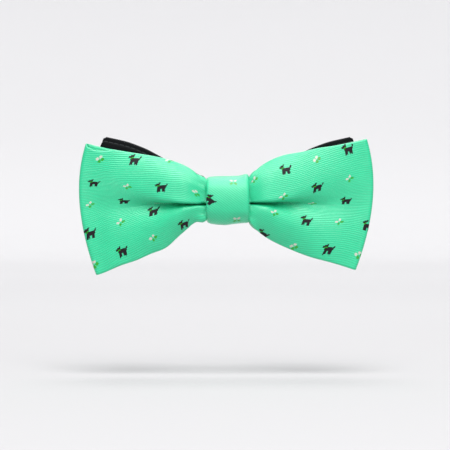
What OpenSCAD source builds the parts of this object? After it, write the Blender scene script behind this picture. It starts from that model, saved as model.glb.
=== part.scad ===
// Pre-tied bow tie on a neckband with a slide adjuster, a hook and an eye.
// X runs to the right as the tie is seen when worn, Y runs back towards the collar, Z is up.
// The origin is the middle of the knot's flat rear face, which rests on the collar button.
// The neckband is folded behind the wings, as the tie is stored, with the hook and eye undone.

/* [Wings] */
// Top corner of the left wing, X and Z from the knot's centre
left_top_corner = [-58.1, 23.3]; // [-70:0.1:70]
// Bottom corner of the left wing
left_low_corner = [-53.6, -30.7]; // [-70:0.1:70]
// Top corner of the right wing
right_top_corner = [56.6, 24.8]; // [-70:0.1:70]
// Bottom corner of the right wing
right_low_corner = [52.1, -28.5]; // [-70:0.1:70]
// How far the outer folds curve out past the line between their corners
outer_fold_curve = 4.7; // [2:0.1:7]
// Thickness of one padded panel of the strip
panel_t = 1.7; // [1.5:0.1:2.2]
// Thickness of one panel where it is gathered at the waist
waist_panel_t = 4; // [3.6:0.1:4.1]
// Height of the gathered waist
waist_h = 15.2; // [14:0.1:15.3]
// How far each wing's front panel bulges forward
wing_bulge = 2.6; // [1:0.1:3]
// Depth of the crease that runs out of the knot
crease_depth = 2; // [0:0.1:2.5]
// Cloth thickness around the interlining
cloth_t = 0.4; // [0.3:0.05:0.45]

/* [Knot] */
// Width of the knot band, left to right
knot_w = 17.4; // [16:0.1:17.6]
// Height of the knot band
knot_h = 19.7; // [19.5:0.1:22]
// Depth of the knot band, front to back
knot_d = 14.1; // [14:0.1:15]
// Thickness of the knot band's wall
knot_wall = 1.6; // [1.5:0.05:1.6]
// Corner radius of the knot band, seen from the side
knot_corner_r = 3.6; // [3:0.1:4]

/* [Neckband] */
// Width of the neckband
band_w = 16.5; // [14:0.5:17]
// Thickness of the neckband
band_t = 0.8; // [0.7:0.05:0.85]
// Angle at which the left side of the band rises from the knot
left_slope = 19; // [15:0.1:20]
// Angle at which the right side of the band rises from the knot
right_slope = 18.9; // [15:0.1:20]
// How much steeper the layers folded behind the left wing lie
left_back_turn = 7; // [0:0.1:8]
// How much steeper the layers folded behind the right wing lie
right_back_turn = 4.1; // [0:0.1:8]
// Distance from the centre to the first fold
first_fold_s = 55.7; // [54:0.1:57]
// Distance from the centre to the inner fold
inner_fold_s = 16.5; // [16:0.5:18]
// Distance from the centre to the outermost of the back folds
last_fold_s = 52.5; // [51:0.5:53]
// Distance between one layer of the folded band and the next
layer_pitch = 1.2; // [1.15:0.05:1.3]

/* [Hardware] */
// Wire radius of the eye, the slide and the hook's loop
wire_r = 0.45; // [0.35:0.05:0.45]
// Where the band turns round the eye and the hook
turn_s = 22; // [21:0.5:23]
// Length of the eye along the band
eye_l = 8; // [7:0.5:9]
// Where the slide adjuster sits on the band
slide_s = 34; // [33:0.5:35]
// Length of the slide adjuster, outer bar to outer bar
slide_l = 10; // [8:0.5:10]
// Width of the hook's tongue
hook_w = 6; // [4:0.5:8]
// Length of the hook's tongue
hook_l = 5; // [4:0.5:6]

/* [Hidden] */

mint = [0.38, 0.88, 0.69];
satin_black = [0.06, 0.07, 0.07];
lining = [0.93, 0.93, 0.9];
steel = [0.72, 0.73, 0.75];

waist_x = 8.9; // half the straight waist inside the knot
fold_r = 1.4; // centre-line radius of the outer folds
inset = fold_r + panel_t / 2;
waist_back_y = -5.7; // middle of the back panel inside the knot
wing_back_y = -4.6; // middle of the back panel in the wings
waist_gap = 2.1; // half the distance between the two panels at the waist
steps = 8; // stations along one wing
rows = 9; // rows of points across a panel
turns = 5; // stations round an outer fold

// One wing: top edge, bottom edge, curve of the outer fold
left_wing = [
    [[-waist_x, waist_h / 2], [-21.8, 19.5], [-34.2, 16.9], left_top_corner],
    [[-waist_x, -waist_h / 2], [-16.6, -9.3], [-27.3, -24], left_low_corner],
    [-2 * outer_fold_curve, outer_fold_curve]
];
right_wing = [
    [[waist_x, waist_h / 2], [13.9, 20.4], [34, 20.3], right_top_corner],
    [[waist_x, -waist_h / 2], [13, -18], [31.4, -21.8], right_low_corner],
    [2 * outer_fold_curve, 0.8 * outer_fold_curve]
];

// Y of the middle of each layer of the folded band, front to back
run_y = [-2.4, -2.4 + layer_pitch, -2.4 + 2 * layer_pitch];
left_end_y = run_y[2] + layer_pitch;
right_end_y = run_y[2] + 2.1;
loop_r = 0.5; // inner radius of a band end turned round a wire
eye_y = left_end_y - band_t / 2 + loop_r + band_t;
hook_y = right_end_y - band_t / 2 + loop_r + band_t;
bar_y = right_end_y + band_t / 2 + 0.1 + band_t + loop_r;
front_bar_y = right_end_y - band_t / 2 - 0.1 - wire_r;
ring_half = band_w / 2 + 0.25 + wire_r;
narrow = 4.3; // half the band's width where it is drawn in under the knot

function smooth(t) = let(c = max(0, min(1, t))) c * c * (3 - 2 * c);
function mix(p, q, t) = p + (q - p) * t;
function bezier(p, t) =
    p[0] * pow(1 - t, 3) + p[1] * 3 * t * pow(1 - t, 2) + p[2] * 3 * t * t * (1 - t) + p[3] * pow(t, 3);

// Outline of a wing: a runs from the waist (0) to the outer fold (1), v from bottom (-1) to top (1)
function outline(w, a, v) =
    let(m = (v + 1) / 2)
    mix(bezier(w[1], a), bezier(w[0], a), m) + w[2] * 2 * m * (1 - m) * pow(a, 3);
function half_height(w, a) = (bezier(w[0], a)[1] - bezier(w[1], a)[1]) / 2;
function half_t(a) = mix(waist_panel_t, panel_t, smooth(a / 0.3)) / 2;
function back_y(a) = mix(waist_back_y, wing_back_y, smooth(a / 0.3));
function bulge(a) = smooth(a / 0.3) * (1 - smooth((a - 0.3) / 0.7));
function crease(a, v) =
    crease_depth * exp(-pow(v / 0.2, 2)) * smooth(a / 0.12) * (1 - smooth((a - 0.15) / 0.4));
function gap(a, v) =
    mix(waist_gap, fold_r, smooth(a / 0.35)) + wing_bulge * bulge(a) * (1 - 0.25 * v * v) - crease(a, v) / 2;

// Middle of the front panel, the back panel and the outer fold
function front_mid(w, a, v) =
    let(p = outline(w, a, v), s = sign(p[0]))
    [p[0] - s * inset * pow(a, 6), back_y(a) - 2 * gap(a, v), p[1]];
function back_mid(w, a, v) =
    let(p = outline(w, a, v), s = sign(p[0]))
    [p[0] - s * inset * pow(a, 6), back_y(a), p[1]];
function fold_mid(w, turn, v) =
    let(p = outline(w, 1, v), s = sign(p[0]))
    [p[0] + s * (fold_r * sin(turn) - inset), back_y(1) - fold_r * (1 + cos(turn)), p[1]];
function waist_mid(x, front, v) =
    [x, waist_back_y - (front ? 2 * waist_gap : 0), v * waist_h / 2];

// Rows of mid points round the whole loop; inward is how far the edges are drawn in
function row_v(k, half, inward) = -cos(180 * k / (rows - 1)) * (1 - inward / half);
function wing_line(w, a, front, inward) = [
    for (k = [0 : rows - 1])
        let(v = row_v(k, half_height(w, a), inward))
        front ? front_mid(w, a, v) : back_mid(w, a, v)
];
function fold_line(w, turn, inward) = [
    for (k = [0 : rows - 1]) fold_mid(w, turn, row_v(k, half_height(w, 1), inward))
];
function waist_line(x, front, inward) = [
    for (k = [0 : rows - 1]) waist_mid(x, front, row_v(k, waist_h / 2, inward))
];
function loop_lines(inward) = concat(
    [for (k = [steps : -1 : 0]) wing_line(left_wing, k / steps, true, inward)],
    [waist_line(-3, true, inward), waist_line(3, true, inward)],
    [for (k = [0 : steps]) wing_line(right_wing, k / steps, true, inward)],
    [for (k = [1 : turns]) fold_line(right_wing, 180 * k / (turns + 1), inward)],
    [for (k = [steps : -1 : 0]) wing_line(right_wing, k / steps, false, inward)],
    [waist_line(3, false, inward), waist_line(-3, false, inward)],
    [for (k = [0 : steps]) wing_line(left_wing, k / steps, false, inward)],
    [for (k = [turns : -1 : 1]) fold_line(left_wing, 180 * k / (turns + 1), inward)]
);
wing_half_t = concat(
    [for (k = [steps : -1 : 0]) half_t(k / steps)],
    [half_t(0), half_t(0)],
    [for (k = [0 : steps]) half_t(k / steps)],
    [for (k = [1 : turns]) half_t(1)]
);
loop_half_t = concat(wing_half_t, wing_half_t);

function outward(lines, i, k) =
    let(n = len(lines), d = lines[(i + 1) % n][k] - lines[(i + n - 1) % n][k])
    [d[1], -d[0], 0] / norm([d[0], d[1]]);
function section(lines, i, inward) =
    let(t = loop_half_t[i] - inward)
    concat(
        [for (k = [0 : rows - 1]) lines[i][k] + outward(lines, i, k) * t * edge(k)],
        [for (k = [rows - 2 : -1 : 1]) lines[i][k] - outward(lines, i, k) * t * edge(k)]
    );
function edge(k) = k == 0 || k == rows - 1 ? 0 : sqrt(1 - pow(cos(180 * k / (rows - 1)), 10));

// The closed strip as one solid, with its faces drawn in by a distance
module strip_loop(inward) {
    lines = loop_lines(inward);
    n = len(lines);
    m = 2 * rows - 2;
    polyhedron(
        points = [for (i = [0 : n - 1]) each section(lines, i, inward)],
        faces = [
            for (i = [0 : n - 1]) for (k = [0 : m - 1])
                let(p = i * m + k, q = i * m + (k + 1) % m)
                let(r = ((i + 1) % n) * m + (k + 1) % m, s = ((i + 1) % n) * m + k)
                each [[p, q, r], [p, r, s]]
        ],
        convexity = 6
    );
}

// Rectangle with true round corners, centred
module round_rect(w, h, r) {
    square([w - 2 * r, h], center = true);
    square([w, h - 2 * r], center = true);
    for (x = [-1, 1])
        for (y = [-1, 1])
            translate([x * (w / 2 - r), y * (h / 2 - r)])
                circle(r, $fn = 48);
}

// Ring round the waist: its section's front and back Y, half height and corner radius
module waist_ring(x0, x1, front, back, half_h, r) {
    translate([x0, 0, 0])
        rotate([90, 0, 90])
            linear_extrude(height = x1 - x0)
                translate([(front + back) / 2, 0])
                    round_rect(back - front, 2 * half_h, r);
}

// Places a side of the neckband: x is the distance along it, z runs across it
module on_left() {
    rotate([0, left_slope, 0])
        mirror([1, 0, 0])
            children();
}
module on_right() {
    rotate([0, -right_slope, 0])
        children();
}
// Turns a side about its first fold
module about_fold(angle) {
    translate([first_fold_s, 0, 0])
        rotate([0, -angle, 0])
            translate([-first_fold_s, 0, 0])
                children();
}
module left_back() {
    on_left() about_fold(left_back_turn) children();
}
module right_back() {
    on_right() about_fold(right_back_turn) children();
}

// Section of the band, with its rolled edges
module band_section() {
    square([band_t, band_w - band_t], center = true);
    for (z = [-1, 1])
        translate([0, z * (band_w - band_t) / 2])
            circle(band_t / 2, $fn = 24);
}
module run(s0, s1, y) {
    translate([s0, y, 0])
        rotate([90, 0, 90])
            linear_extrude(height = s1 - s0)
                band_section();
}
module fold(s, y0, y1, outer) {
    translate([s, (y0 + y1) / 2, 0])
        rotate([0, 0, outer ? -90 : 90])
            rotate_extrude(angle = 180, $fn = 48)
                translate([(y1 - y0) / 2, 0])
                    band_section();
}

// Half a band end turned round a wire, in the plane across the band
module turn(outer) {
    difference() {
        circle(loop_r + band_t, $fn = 48);
        circle(loop_r, $fn = 48);
        translate([outer ? -5.02 : 0.02, -5])
            square([5, 10]);
    }
}

// Flat wire frame, s0 to s1 along the band and half across it
module wire_frame(s0, s1, half, y) {
    c = wire_r + 0.15;
    for (z = [-half, half])
        translate([s0 + c, y, z])
            rotate([0, 90, 0])
                cylinder(h = s1 - s0 - 2 * c, r = wire_r, $fn = 32);
    for (s = [s0, s1])
        translate([s, y, c - half])
            cylinder(h = 2 * half - 2 * c, r = wire_r, $fn = 32);
    for (k = [0 : 3])
        translate([k == 0 || k == 3 ? s1 - c : s0 + c, y, k < 2 ? half - c : c - half])
            rotate([90, 0, 0])
                rotate([0, 0, 90 * k])
                    rotate_extrude(angle = 90, $fn = 48)
                        translate([c, 0])
                            circle(wire_r, $fn = 32);
}

module bow_strip() {
    color(mint)
        difference() {
            strip_loop(0);
            strip_loop(cloth_t);
        }
}

module bow_interlining() {
    color(lining)
        strip_loop(cloth_t + 0.1);
}

// Three turns of thread draw the waist together
module waist_thread() {
    y0 = waist_back_y - 2 * waist_gap - waist_panel_t / 2;
    y1 = waist_back_y + waist_panel_t / 2;
    color(mint * 0.8)
        for (x = [-0.9, 0, 0.9])
            difference() {
                waist_ring(x - 0.25, x + 0.25, y0 - 0.5, y1 + 0.5, waist_h / 2 + 0.55, 2.5);
                waist_ring(x - 0.5, x + 0.5, y0 - 0.1, y1 + 0.1, waist_h / 2 + 0.15, 2.1);
            }
}

module knot_ring(x, inward) {
    waist_ring(-x, x, inward - knot_d, -inward, knot_h / 2 - inward, knot_corner_r - inward);
}

module knot_band() {
    color(mint)
        difference() {
            knot_ring(knot_w / 2, 0);
            knot_ring(knot_w, knot_wall);
            difference() {
                knot_ring(knot_w / 2 - 0.5, 0.45);
                knot_ring(knot_w, knot_wall - 0.45);
            }
            for (x = [-6 : 3 : 6])
                translate([x - 0.19, -0.35, -5.3])
                    cube([0.38, 1, 2.6]);
        }
}

module knot_interlining() {
    color(lining)
        difference() {
            knot_ring(knot_w / 2 - 0.6, 0.55);
            knot_ring(knot_w, knot_wall - 0.55);
        }
}

// Closing stitches sunk in the knot band's rear face
module knot_stitches() {
    color(mint * 0.7)
        for (x = [-6 : 3 : 6])
            translate([x, -0.18, -5.2])
                cylinder(h = 2.4, r = 0.15, $fn = 24);
}

// The band's front layer runs through the knot, where it is drawn in, and out behind both wings
module band_half(back_turn) {
    half = band_w / 2;
    skew = half * tan(back_turn / 2);
    translate([0, run_y[0] + band_t / 2, 0])
        rotate([90, 0, 0])
            linear_extrude(height = band_t)
                polygon([
                    [-1.3, -narrow], [9.3, -narrow], [19, 1.5 - half], [29, 0.3 - half], [38, 0.7 - half],
                    [46, 1 - half], [first_fold_s + skew, -half],
                    [first_fold_s - skew, half], [46, half + 1], [38, half + 0.7], [29, half - 0.9],
                    [20, half - 2.6], [9.3, narrow], [-1.3, narrow]
                ]);
}
module band_front_run() {
    color(satin_black) {
        on_left() band_half(left_back_turn);
        on_right() band_half(right_back_turn);
    }
}

// The second layer ends along the first fold, which is slanted by half the back layers' turn
module second_run(back_turn) {
    difference() {
        run(inner_fold_s, first_fold_s + 1, run_y[1]);
        about_fold(-back_turn / 2)
            translate([first_fold_s, -5, -band_w])
                cube([5, 10, 2 * band_w]);
    }
}

module left_fold_1() {
    color(satin_black)
        on_left()
            about_fold(left_back_turn / 2)
                fold(first_fold_s, run_y[0], run_y[1], true);
}
module left_run_2() {
    color(satin_black) left_back() second_run(left_back_turn);
}
module left_fold_2() {
    color(satin_black) left_back() fold(inner_fold_s, run_y[1], run_y[2], false);
}
module left_run_3() {
    color(satin_black) left_back() run(inner_fold_s, last_fold_s, run_y[2]);
}
module left_fold_3() {
    color(satin_black) left_back() fold(last_fold_s, run_y[2], left_end_y, true);
}

// The left end turns round the eye's bar and is sewn back onto itself
module left_run_4() {
    y0 = left_end_y - band_t / 2;
    y1 = left_end_y + band_t / 2 + 0.1;
    y2 = eye_y + loop_r;
    color(satin_black)
        left_back()
            linear_extrude(height = band_w, center = true) {
                translate([turn_s, y0])
                    square([last_fold_s - turn_s, band_t]);
                translate([turn_s, eye_y])
                    turn(false);
                polygon([
                    [turn_s, y2], [turn_s + 4, y1], [turn_s + 9, y1],
                    [turn_s + 9, y1 + band_t], [turn_s + 4.2, y1 + band_t], [turn_s, y2 + band_t]
                ]);
            }
}

// Satin-stitched bar across the sewn end
module left_bar_tack() {
    color(satin_black * 2)
        left_back()
            translate([turn_s + 6.5, left_end_y + 1.5 * band_t + 0.1, -5])
                cube([1, 0.25, 10]);
}

module eye() {
    color(steel) left_back() wire_frame(turn_s - eye_l, turn_s, ring_half, eye_y);
}

module right_fold_1() {
    color(satin_black)
        on_right()
            about_fold(right_back_turn / 2)
                fold(first_fold_s, run_y[0], run_y[1], true);
}
module right_run_2() {
    color(satin_black) right_back() second_run(right_back_turn);
}
module right_fold_2() {
    color(satin_black) right_back() fold(inner_fold_s, run_y[1], run_y[2], false);
}
module right_run_3() {
    color(satin_black) right_back() run(inner_fold_s, last_fold_s, run_y[2]);
}
module right_fold_3() {
    color(satin_black) right_back() fold(last_fold_s, run_y[2], right_end_y, true);
}
module right_run_4() {
    color(satin_black) right_back() run(turn_s + 7.05, last_fold_s, right_end_y);
}

// The band goes on round the hook's bar, back over itself and round the slide's middle bar
module tail_loop() {
    y0 = right_end_y - band_t / 2;
    y1 = hook_y + loop_r;
    y2 = bar_y + loop_r;
    y3 = bar_y - loop_r - band_t;
    rise = (y2 - y1) / (slide_s - turn_s);
    y4 = y1 + rise * (slide_s - 4.4 - turn_s) - 0.1 - band_t;
    color(satin_black)
        right_back()
            linear_extrude(height = band_w, center = true) {
                translate([turn_s, y0])
                    square([7, band_t]);
                translate([turn_s, hook_y])
                    turn(false);
                polygon([[turn_s, y1], [slide_s, y2], [slide_s, y2 + band_t], [turn_s, y1 + band_t]]);
                translate([slide_s, bar_y])
                    turn(true);
                polygon([
                    [slide_s - 4.4, y4], [slide_s, y3],
                    [slide_s, y3 + band_t], [slide_s - 4.4, y4 + band_t]
                ]);
            }
}

// Two front bars, a middle bar behind them and two side plates
module slide_adjuster() {
    plate = 0.9;
    half = band_w / 2 + 0.25;
    color(steel)
        right_back() {
            for (z = [-half - plate, half])
                translate([slide_s, 0, z])
                    linear_extrude(height = plate)
                        polygon([
                            [-slide_l / 2 - 0.5, front_bar_y - 0.45], [slide_l / 2 + 0.5, front_bar_y - 0.45],
                            [slide_l / 2 + 0.5, front_bar_y + 0.45], [1.1, bar_y + 0.6],
                            [-1.1, bar_y + 0.6], [-slide_l / 2 - 0.5, front_bar_y + 0.45]
                        ]);
            for (s = [-slide_l / 2, slide_l / 2])
                translate([slide_s + s, front_bar_y, -half - 0.4])
                    cylinder(h = 2 * half + 0.8, r = wire_r, $fn = 32);
            translate([slide_s, bar_y, -half - 0.4])
                cylinder(h = 2 * half + 0.8, r = wire_r, $fn = 32);
        }
}

// Satin-stitched bar that closes the tail round the slide's middle bar
module slide_bar_tack() {
    rise = (bar_y - hook_y) / (slide_s - turn_s);
    color(satin_black * 2)
        right_back()
            translate([slide_s - 3.2, bar_y + loop_r + band_t - 3.2 * rise + 0.03, -5])
                rotate([0, 0, atan(rise)])
                    cube([1, 0.25, 10]);
}

// Loop frame and a flat tongue bent back into a hook
module hook() {
    frame_s = turn_s - 4.5;
    tip_s = frame_s - hook_l;
    bend_r = 1.3;
    plate = 0.9;
    color(steel)
        right_back() {
            wire_frame(frame_s, turn_s, ring_half, hook_y);
            translate([tip_s, hook_y - plate / 2, -hook_w / 2])
                cube([hook_l + 0.3, plate, hook_w]);
            translate([tip_s, hook_y + bend_r, 0])
                rotate([0, 0, 90])
                    rotate_extrude(angle = 180, $fn = 64)
                        translate([bend_r, 0])
                            square([plate, hook_w], center = true);
            translate([tip_s, hook_y + 2 * bend_r - plate / 2, -hook_w / 2])
                cube([3.5, plate, hook_w]);
        }
}

bow_strip();
bow_interlining();
waist_thread();
knot_band();
knot_interlining();
knot_stitches();
band_front_run();
left_fold_1();
left_run_2();
left_fold_2();
left_run_3();
left_fold_3();
left_run_4();
left_bar_tack();
eye();
right_fold_1();
right_run_2();
right_fold_2();
right_run_3();
right_fold_3();
right_run_4();
tail_loop();
slide_adjuster();
slide_bar_tack();
hook();
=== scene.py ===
"""A pre-tied bow tie of figured mint jacquard on a folding black satin neckband.

Lengths are in millimetres until make_mesh turns them into metres. X runs to the right, Y back towards the
collar and Z up, from the middle of the knot's flat rear face, as in the CAD model.
"""
import math
from collections import namedtuple
from functools import partialmethod

import bmesh
import bpy
import numpy as np
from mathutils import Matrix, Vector


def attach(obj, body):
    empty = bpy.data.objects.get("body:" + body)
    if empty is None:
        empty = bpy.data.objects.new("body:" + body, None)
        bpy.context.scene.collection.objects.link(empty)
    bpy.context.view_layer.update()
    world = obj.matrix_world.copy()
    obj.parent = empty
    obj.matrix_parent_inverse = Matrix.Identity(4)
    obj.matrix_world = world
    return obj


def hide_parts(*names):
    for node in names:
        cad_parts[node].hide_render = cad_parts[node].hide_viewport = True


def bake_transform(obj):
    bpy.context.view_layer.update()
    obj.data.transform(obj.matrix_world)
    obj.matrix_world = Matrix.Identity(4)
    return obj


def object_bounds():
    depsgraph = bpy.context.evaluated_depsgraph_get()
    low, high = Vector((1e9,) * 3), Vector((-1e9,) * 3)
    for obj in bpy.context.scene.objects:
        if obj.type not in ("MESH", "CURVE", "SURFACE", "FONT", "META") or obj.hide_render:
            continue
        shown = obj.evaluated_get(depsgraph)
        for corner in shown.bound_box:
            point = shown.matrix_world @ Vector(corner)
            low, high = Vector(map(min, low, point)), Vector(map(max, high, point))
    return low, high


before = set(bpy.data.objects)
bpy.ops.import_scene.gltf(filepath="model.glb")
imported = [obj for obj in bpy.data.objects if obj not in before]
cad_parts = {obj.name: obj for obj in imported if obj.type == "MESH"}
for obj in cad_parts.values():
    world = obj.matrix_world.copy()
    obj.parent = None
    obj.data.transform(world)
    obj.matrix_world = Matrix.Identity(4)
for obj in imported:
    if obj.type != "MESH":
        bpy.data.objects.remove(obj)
cad_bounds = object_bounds()

MM = 0.001
UV_PER_MM = 0.01  # the UV map holds cloth coordinates at this scale


# ---------------------------------------------------------------- helpers

def smooth(t):
    """Eases from 0 at 0 to 1 at 1, and stays there outside."""
    t = np.clip(t, 0, 1)
    return t * t * (3 - 2 * t)


def bell(x, place, width):
    """1 at place, falling away on both sides."""
    return np.exp(-((x - place) / width) ** 2)


def mix(a, b, t):
    return a + (b - a) * t


def bezier(p, t):
    a, b, c, d = (np.array(q, float) for q in p)
    return a * (1 - t) ** 3 + b * 3 * t * (1 - t) ** 2 + c * 3 * t * t * (1 - t) + d * t ** 3


def run_length(points):
    """Distance along a line of points, at each point."""
    return np.concatenate([[0], np.cumsum(np.linalg.norm(np.diff(points, axis=0), axis=1))])


def add_object(name, data):
    obj = bpy.data.objects.new(name, data)
    bpy.context.scene.collection.objects.link(obj)
    return obj


def make_mesh(name, verts, faces, uv=None):
    """A smooth-shaded object from points in millimetres; uv is one pair of cloth coordinates for each."""
    mesh = bpy.data.meshes.new(name)
    mesh.from_pydata([tuple(v) for v in np.asarray(verts) * MM], [], [tuple(f) for f in faces])
    if uv is not None:
        layer = mesh.uv_layers.new(name="cloth")
        index = np.zeros(len(mesh.loops), np.int32)
        mesh.loops.foreach_get("vertex_index", index)
        layer.data.foreach_set("uv", (np.asarray(uv)[index] * UV_PER_MM).astype(np.float32).ravel())
    mesh.validate()
    mesh.update()
    mesh.polygons.foreach_set("use_smooth", [True] * len(mesh.polygons))
    return add_object(name, mesh)


def make_closed(name, verts, faces, uv=None):
    """A closed mesh whose faces all look outwards."""
    obj = make_mesh(name, verts, faces, uv)
    bm = bmesh.new()
    bm.from_mesh(obj.data)
    bmesh.ops.recalc_face_normals(bm, faces=bm.faces)
    bm.to_mesh(obj.data)
    bm.free()
    obj.data.polygons.foreach_set("use_smooth", [True] * len(obj.data.polygons))
    return obj


def make_ring(name, grid, uv=None):
    """A closed mesh from a grid of points, uv beside it, that closes both ways."""
    n, m = grid.shape[:2]
    i, k = np.meshgrid(np.arange(n), np.arange(m), indexing="ij")
    next_i, next_k = (i + 1) % n, (k + 1) % m
    faces = np.stack([i * m + k, next_i * m + k, next_i * m + next_k, i * m + next_k], -1).reshape(-1, 4)
    return make_closed(name, grid.reshape(-1, 3), faces, None if uv is None else uv.reshape(-1, 2))


def tube_faces(n, m):
    """Quads of a closed section swept along an open path, with a cap at each end."""
    i, k = np.meshgrid(np.arange(n - 1), np.arange(m), indexing="ij")
    next_k = (k + 1) % m
    quads = np.stack([i * m + k, (i + 1) * m + k, (i + 1) * m + next_k, i * m + next_k], -1).reshape(-1, 4)
    return [list(q) for q in quads] + [list(range(m)), list(range((n - 1) * m, n * m))[::-1]]


# ---------------------------------------------------------------- the wings

WAIST_X, WAIST_H = 8.9, 7.6  # half the length and half the height of the straight waist inside the knot
GATHER = 0.3  # share of a wing, from the waist, over which it opens out
WAIST_T, WING_T, FOLD_T = 2.0, 0.85, 0.55  # half thickness at the waist, in the wing and at the outer fold
WAIST_BACK, WING_BACK = -5.7, -4.6  # Y of the back panel
# half the distance between the panels: at the waist, in the wing, and at the fold, whose radius it is
WAIST_GAP, WING_GAP, FOLD_R = 2.1, 1.4, 0.9
BULGE = 2.6  # how much more the front panel swells
TIP = FOLD_R + FOLD_T  # how far the outer fold reaches past the ends of the panels
PULL_IN = 0.008  # share of its height by which a wing narrows at its outer fold
WING_END = 58  # distance of the outer folds from the centre
EDGE_ROUND = 0.2  # the most of a panel's half height that its rounded edge takes up
ROWS = 64  # rows of points across a panel, without the ones on its rounded edges
COLUMN, ROW = 14.0, 12.2  # pitch of the woven figures along and across the strip
RIB, PICK = 0.85, 0.3  # pitch of the cloth's ribs, and of the threads that cross them
LINING_SHIFT = (7, 6.1)  # how far the figures inside the strip are from the ones on its face

DIP_X = [46.5, 48.2, 51.1, 54.0, 56.4]  # places along a wing where "dip" gives its front panel's drop
CREASE_X = [9, 14, 22, 28, 34, 44, 60]  # places along a wing where "crease" gives the height of its pleat
SPREAD_A = [0, 0.5, 0.6, 0.7, 0.85, 1]  # where "spread_centre" says how far above it the tucked cloth is
# top and low are the edges, as curves from waist to fold, and fold is the pull that bows the outer fold.
# Swells are soft irregularities of the hand-pulled edges: place from the centre, width, height.
LEFT = dict(
    sign=-1,
    top=[(-WAIST_X, WAIST_H), (-21.8, 19.5), (-34.2, 16.9), (-57.8, 22.9)],
    low=[(-WAIST_X, -WAIST_H), (-16.6, -9.3), (-27.3, -24.0), (-53.6, -30.7)],
    fold=(-9.4, 4.7),
    top_swells=[(9.6, 1.6, 1.1)],
    low_swells=[(9.8, 1.8, -1.3), (14.2, 2.2, 0.6), (25.2, 4.6, -1.5), (44.5, 6.5, 0.9)],
    dip=[0, 0.75, 1.5, 2.0, 1.5],
    crease=[-1.5, -1.4, -1.35, -2.0, -3.2, -5.0, -6.2],
    spread_centre=[0.01, 0.01, 0.06, 0.12, 0.27, 0.33],
)
RIGHT = dict(
    sign=1,
    top=[(WAIST_X, WAIST_H), (13.9, 20.4), (34.0, 20.3), (56.6, 24.8)],
    low=[(WAIST_X, -WAIST_H), (13.0, -18.0), (31.4, -21.8), (52.1, -28.5)],
    fold=(9.4, 3.76),
    top_swells=[(8.9, 0.8, 0.9), (9.8, 1.6, 1.4), (16.0, 8.0, -0.35), (30.0, 6.0, -0.75),
                (43.0, 7.0, -0.5)],
    low_swells=[(8.9, 0.8, -0.6), (9.9, 1.7, -1.4), (33.0, 8.0, -0.5)],
    dip=[0, 0.1, 0.2, 0.3, 0.2],
    crease=[-1.1, -1.0, -1.1, -1.7, -2.6, -3.7, -4.4],
    spread_centre=[0.01, 0.01, 0.03, 0.05, 0.08, 0.08],
)

# The front panel's pleat: places from 0 at the waist to 1 at the fold, and values there. Its widths below
# and above the crease, and the lip's reach above it, are shares of the panel's half height.
PLEAT_DEPTH = [0, 0.12, 0.3, 0.5, 0.75, 1], [3.2, 4.2, 4.8, 4.5, 2.4, 0.3]
PLEAT_BELOW = [0, 0.15, 0.3, 0.42, 0.55, 0.7, 1], [0.06, 0.06, 0.1, 0.19, 0.27, 0.33, 0.36]
PLEAT_ABOVE = [0, 0.35, 0.5, 0.65, 0.8, 1], [0.05, 0.05, 0.08, 0.17, 0.28, 0.4]
LIP = [0, 0.1, 0.3, 0.45, 0.6, 0.8], [0.75, 0.9, 1.0, 0.9, 0.5, 0]  # how far the lobe above hangs over it
LIP_REACH = [0, 0.3, 0.6], [0.09, 0.08, 0.12]
LIP_SWELL = 0.35  # how far the lip comes forward, as a share of how far it hangs
# the cloth that is tucked into the pleat: how widely it is spread, and how much of it is eased in evenly
TUCK_SPREAD = [0, 0.35, 0.5, 0.6, 0.7, 0.85, 1], [0.03, 0.035, 0.05, 0.12, 0.25, 0.42, 0.5]
TUCK_EASED = [0, 0.15, 0.3, 0.8, 1], [0.1, 0.16, 0.25, 0.3, 0]
# places across the right wing, and how far the figures near its fold are pulled along it
PULL = [-30, -24, -12, -5, 0], [0.9, 0.9, 2.0, 1.0, 0]


def half_t(a):
    """Half the strip's thickness at a, which runs from 0 at the waist to 1 at the outer fold."""
    return mix(WAIST_T, WING_T, smooth(a / GATHER)) - (WING_T - FOLD_T) * smooth((a - 0.85) / 0.15)


def back_y(a):
    return mix(WAIST_BACK, WING_BACK, smooth(a / GATHER))


def front_y(a):
    gap = mix(mix(WAIST_GAP, WING_GAP, smooth(a / 0.35)), FOLD_R, smooth((a - 0.8) / 0.2))
    swell = smooth(a / GATHER) * (1 - smooth((a - GATHER) / (1 - GATHER)))
    return back_y(a) - 2 * (gap + BULGE * swell)


def edges(wing, a):
    """The wing's bottom and top edges at a."""
    low, top = bezier(wing["low"], a), bezier(wing["top"], a)
    for q, swells in ((low, wing["low_swells"]), (top, wing["top_swells"])):
        q[1] += sum(height * bell(abs(q[0]), place, width) for place, width, height in swells)
    return low, top


def outline(wing, a, v):
    """X and Z of the wing at a and v, which runs from -1 at its bottom edge to 1 at its top."""
    m = (v[:, None] + 1) / 2
    low, top = edges(wing, a)
    return low + (top - low) * m + np.array(wing["fold"]) * 2 * m * (1 - m) * a ** 3


def crease_v(wing, a):
    """Where the pleat lies across the wing."""
    low, top = edges(wing, a)
    z = np.interp(abs(low[0] + top[0]) / 2, CREASE_X, wing["crease"])
    return 2 * (z - low[1]) / (top[1] - low[1]) - 1


def rows_v(rho, crease):
    """Values of v: on the round edges first and last, and close together at the crease and the edges."""
    fine = np.linspace(-1 + rho, 1 - rho, 1500)
    dense = 1 + 8 * bell(fine, crease + 0.03, 0.1) + 1.5 * bell(np.abs(fine), 1, 0.12)
    run = np.concatenate([[0], np.cumsum((dense[1:] + dense[:-1]) / 2)])
    inner = np.interp(np.linspace(0, run[-1], ROWS), run, fine)
    high = 1 - rho + rho * np.sin(np.radians([90, 72, 54, 36, 18]))
    return np.concatenate([-high, inner, high[::-1]])


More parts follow.
